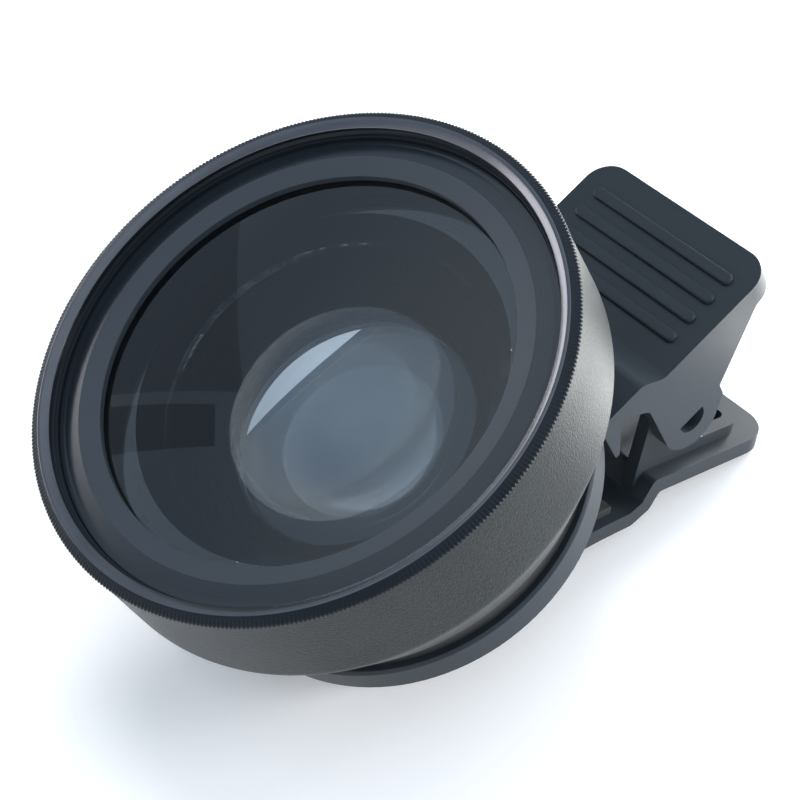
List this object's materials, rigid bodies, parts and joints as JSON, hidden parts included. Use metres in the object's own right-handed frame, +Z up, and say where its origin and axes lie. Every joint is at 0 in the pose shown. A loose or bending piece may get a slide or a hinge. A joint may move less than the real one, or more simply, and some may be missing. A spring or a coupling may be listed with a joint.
{
  "type": "clip-on phone lens",
  "caption": "Wide-angle converter on a macro lens, screwed into the ring of a sprung plastic clip that grips a phone's edge.",
  "frame": {"origin": "on the table under the closed clip, at the centre of its overall length and width", "axes": "+Z up from the table, +X from the lens towards the finger plates, Y along the clip's hinge. The lens axis leans 22.2 degrees from +Z towards -X"},
  "size_m": [0.0736, 0.052, 0.045],
  "materials": {
    "black_gloss_metal": "gloss black anodised",
    "blasted_metal": "blasted and dark anodised",
    "black_satin_metal": "satin black anodised",
    "lens_glass": "polished and coated",
    "clip_plastic": "moulded satin",
    "pad_rubber": "matte",
    "spring_steel": "drawn wire"
  },
  "bodies": {
    "jaw": {"jaw_arm": "clip_plastic", "jaw_pad": "pad_rubber", "torsion_spring": "spring_steel"},
    "ring": {"ring_arm": "clip_plastic", "ring_pad": "pad_rubber"},
    "macro": {"macro_barrel": "black_satin_metal", "macro_glass": "lens_glass", "macro_retainer": "black_satin_metal"},
    "wide": {"front_ring": "black_gloss_metal", "trim_ring": "black_gloss_metal", "front_glass": "lens_glass", "front_barrel": "blasted_metal", "rear_glass": "lens_glass", "rear_retainer": "black_satin_metal"}
  },
  "joints": [
    {"name": "clip_hinge", "type": "hinge", "parent": "jaw", "child": "ring", "pos_m": [0.02461, 0, 0.01137], "axis": [0, 1, 0], "range_deg": [0, 30], "stiffness_Nm_per_rad": 0.3, "springref_deg": -28.65, "deforming": ["torsion_spring"]},
    {"name": "macro_unscrew", "type": "slide", "parent": "ring", "child": "macro", "axis": [-0.3772, 0, 0.9261], "range_m": [0, 0.008]},
    {"name": "wide_unscrew", "type": "slide", "parent": "macro", "child": "wide", "axis": [-0.3772, 0, 0.9261], "range_m": [0, 0.008]}
  ]
}
